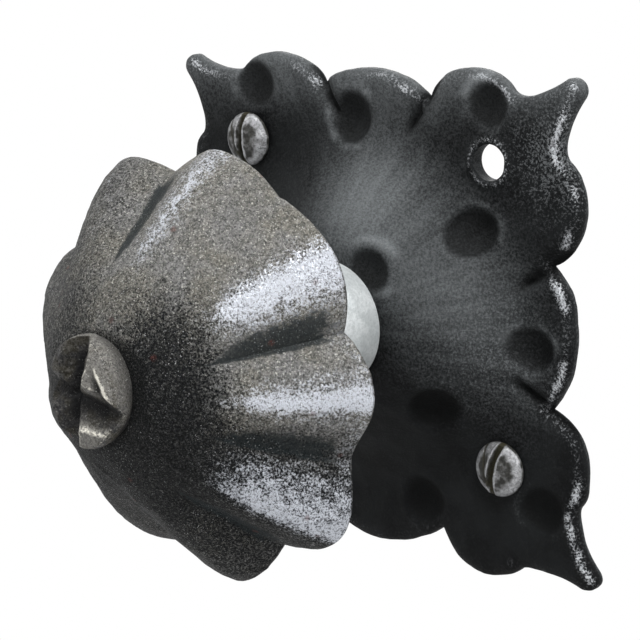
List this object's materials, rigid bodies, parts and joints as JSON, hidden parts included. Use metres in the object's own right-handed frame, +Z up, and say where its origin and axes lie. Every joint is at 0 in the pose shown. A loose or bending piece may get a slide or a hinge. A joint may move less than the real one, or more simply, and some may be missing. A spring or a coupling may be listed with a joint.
{
  "type": "cabinet knob with backplate",
  "caption": "Hand-forged iron cabinet knob: hollow fluted cap on a sleeve, riveted to a square lobed and hammered backplate fixed with round-head wood screws.",
  "frame": {"origin": "centre of the backplate on its back plane, on the knob's axis, where it lies on the door or drawer front", "axes": "+Z up as in the picture, -Y along the knob's axis away from the door, +Y into the door, +X to the right seen from the front"},
  "size_m": [0.0637, 0.0671, 0.063],
  "materials": {
    "plate_iron": "black scale, brushed, bright on the worn edges",
    "cap_iron": "gunmetal, grainy, burnished on the ridges",
    "pale_steel": "pale zinc grey, matt",
    "screw_steel": "grey steel, worn and slightly pitted"
  },
  "bodies": {
    "root": {"backplate": "plate_iron", "knob_cap": "cap_iron", "center_rivet": "cap_iron", "sleeve": "pale_steel", "screw_upper_left": "screw_steel", "screw_lower_right": "screw_steel"}
  },
  "joints": []
}
